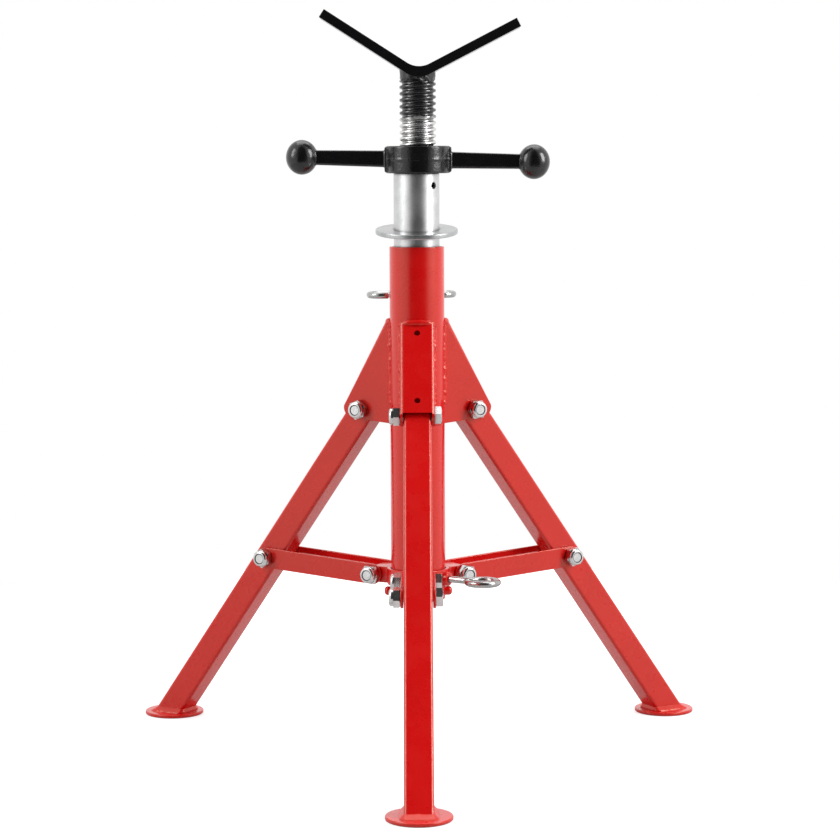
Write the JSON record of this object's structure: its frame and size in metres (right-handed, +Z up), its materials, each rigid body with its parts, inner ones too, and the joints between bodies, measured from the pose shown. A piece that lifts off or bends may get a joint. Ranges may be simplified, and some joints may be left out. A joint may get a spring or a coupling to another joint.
{
  "type": "pipe jack stand",
  "caption": "Folding stand that holds up a pipe: a V head on a hand-turned lifting screw, over a pinned telescopic post on braced legs.",
  "frame": {"origin": "on the floor under the post's axis", "axes": "+Z up along the post, -Y towards the viewer along leg 1, +X to the viewer's right, along the V head's spread"},
  "size_m": [0.6444, 0.5672, 0.8097],
  "materials": {
    "red_powder_coat": "gloss powder coat",
    "black_paint": "gloss paint",
    "black_iron": "gloss paint on cast iron",
    "satin_zinc": "satin zinc plate",
    "bare_steel": "machined",
    "bright_zinc": "bright zinc plate"
  },
  "bodies": {
    "post": {"main_tube": "red_powder_coat", "collar_stop_rod": "red_powder_coat", "leg_bracket_1": "red_powder_coat", "hinge_bolt_1": "bright_zinc", "hinge_nut_1": "bright_zinc", "leg_bracket_2": "red_powder_coat", "hinge_bolt_2": "bright_zinc", "hinge_nut_2": "bright_zinc", "leg_bracket_3": "red_powder_coat", "hinge_bolt_3": "bright_zinc", "hinge_nut_3": "bright_zinc"},
    "inner": {"inner_tube": "satin_zinc", "stop_washer": "satin_zinc"},
    "handle": {"handle_nut": "black_iron"},
    "screw": {"lift_screw": "bare_steel", "v_head_weld": "black_paint", "v_head": "black_paint"},
    "pin_left": {"height_pin_left": "bright_zinc"},
    "pin_right": {"height_pin_right": "bright_zinc"},
    "collar": {"collar": "red_powder_coat", "collar_pin_boss": "red_powder_coat", "collar_lug_1": "red_powder_coat", "collar_lug_2": "red_powder_coat", "collar_lug_3": "red_powder_coat"},
    "collar_pin": {"collar_pin": "bright_zinc"},
    "leg_1": {"leg_tube_1": "red_powder_coat", "foot_plate_1": "red_powder_coat", "leg_bolt_shank_1": "bright_zinc"},
    "brace_1": {"brace_bar_1_a": "red_powder_coat", "brace_bar_1_b": "red_powder_coat", "brace_bolt_1": "bright_zinc", "brace_nut_1": "bright_zinc", "leg_bolt_head_1": "bright_zinc", "leg_bolt_nut_1": "bright_zinc"},
    "leg_2": {"leg_tube_2": "red_powder_coat", "foot_plate_2": "red_powder_coat", "leg_bolt_shank_2": "bright_zinc"},
    "brace_2": {"brace_bar_2_a": "red_powder_coat", "brace_bar_2_b": "red_powder_coat", "brace_bolt_2": "bright_zinc", "brace_nut_2": "bright_zinc", "leg_bolt_head_2": "bright_zinc", "leg_bolt_nut_2": "bright_zinc"},
    "leg_3": {"leg_tube_3": "red_powder_coat", "foot_plate_3": "red_powder_coat", "leg_bolt_shank_3": "bright_zinc"},
    "brace_3": {"brace_bar_3_a": "red_powder_coat", "brace_bar_3_b": "red_powder_coat", "brace_bolt_3": "bright_zinc", "brace_nut_3": "bright_zinc", "leg_bolt_head_3": "bright_zinc", "leg_bolt_nut_3": "bright_zinc"}
  },
  "joints": [
    {"name": "leg_1_fold", "type": "hinge", "parent": "post", "child": "leg_1", "pos_m": [0, -0.0628, 0.373], "axis": [1, 0, 0], "range_deg": [0, 28]},
    {"name": "leg_2_fold", "type": "hinge", "parent": "post", "child": "leg_2", "pos_m": [0.05439, 0.0314, 0.373], "axis": [-0.5, 0.866, 0], "range_deg": [0, 28.01]},
    {"name": "leg_3_fold", "type": "hinge", "parent": "post", "child": "leg_3", "pos_m": [-0.05439, 0.0314, 0.373], "axis": [-0.5, -0.866, 0], "range_deg": [0, 28.01]},
    {"name": "collar_slide", "type": "slide", "parent": "post", "child": "collar", "axis": [0, 0, 1], "range_m": [0, 0.1035]},
    {"name": "brace_1_swing", "type": "hinge", "parent": "collar", "child": "brace_1", "pos_m": [0, -0.04905, 0.1897], "axis": [1, 0, 0], "range_deg": [0, 74.98]},
    {"name": "brace_2_swing", "type": "hinge", "parent": "collar", "child": "brace_2", "pos_m": [0.04248, 0.02453, 0.1897], "axis": [-0.5, 0.866, 0], "range_deg": [0, 74.98]},
    {"name": "brace_3_swing", "type": "hinge", "parent": "collar", "child": "brace_3", "pos_m": [-0.04248, 0.02453, 0.1897], "axis": [-0.5, -0.866, 0], "range_deg": [0, 74.98]},
    {"name": "collar_pin_pull", "type": "slide", "parent": "collar", "child": "collar_pin", "axis": [0.848, -0.5299, 0], "range_m": [0, 0.03]},
    {"name": "inner_tube_lift", "type": "slide", "parent": "post", "child": "inner", "axis": [0, 0, 1], "range_m": [0, 0.242]},
    {"name": "handle_turn", "type": "hinge", "parent": "inner", "child": "handle", "pos_m": [0.0018, 0, 0.648], "axis": [0, 0, -1], "range_deg": [-2880, 3240]},
    {"name": "screw_lift", "type": "slide", "parent": "inner", "child": "screw", "axis": [0, 0, 1], "range_m": [-0.05605, 0.06305]},
    {"name": "height_pin_left_pull", "type": "slide", "parent": "post", "child": "pin_left", "axis": [-0.7513, 0.66, 0], "range_m": [0, 0.03]},
    {"name": "height_pin_right_pull", "type": "slide", "parent": "post", "child": "pin_right", "axis": [0.5105, 0.8599, 0], "range_m": [0, 0.03]}
  ],
  "couplings": [
    {"joint": "leg_2_fold", "follows": "leg_1_fold", "ratio": 1},
    {"joint": "leg_3_fold", "follows": "leg_1_fold", "ratio": 1},
    {"joint": "collar_slide", "follows": "leg_1_fold", "m_per_rad": 0.21138},
    {"joint": "brace_1_swing", "follows": "leg_1_fold", "ratio": 2.6742},
    {"joint": "brace_2_swing", "follows": "leg_1_fold", "ratio": 2.6742},
    {"joint": "brace_3_swing", "follows": "leg_1_fold", "ratio": 2.6742},
    {"joint": "screw_lift", "follows": "handle_turn", "m_per_rad": 0.0011141}
  ]
}
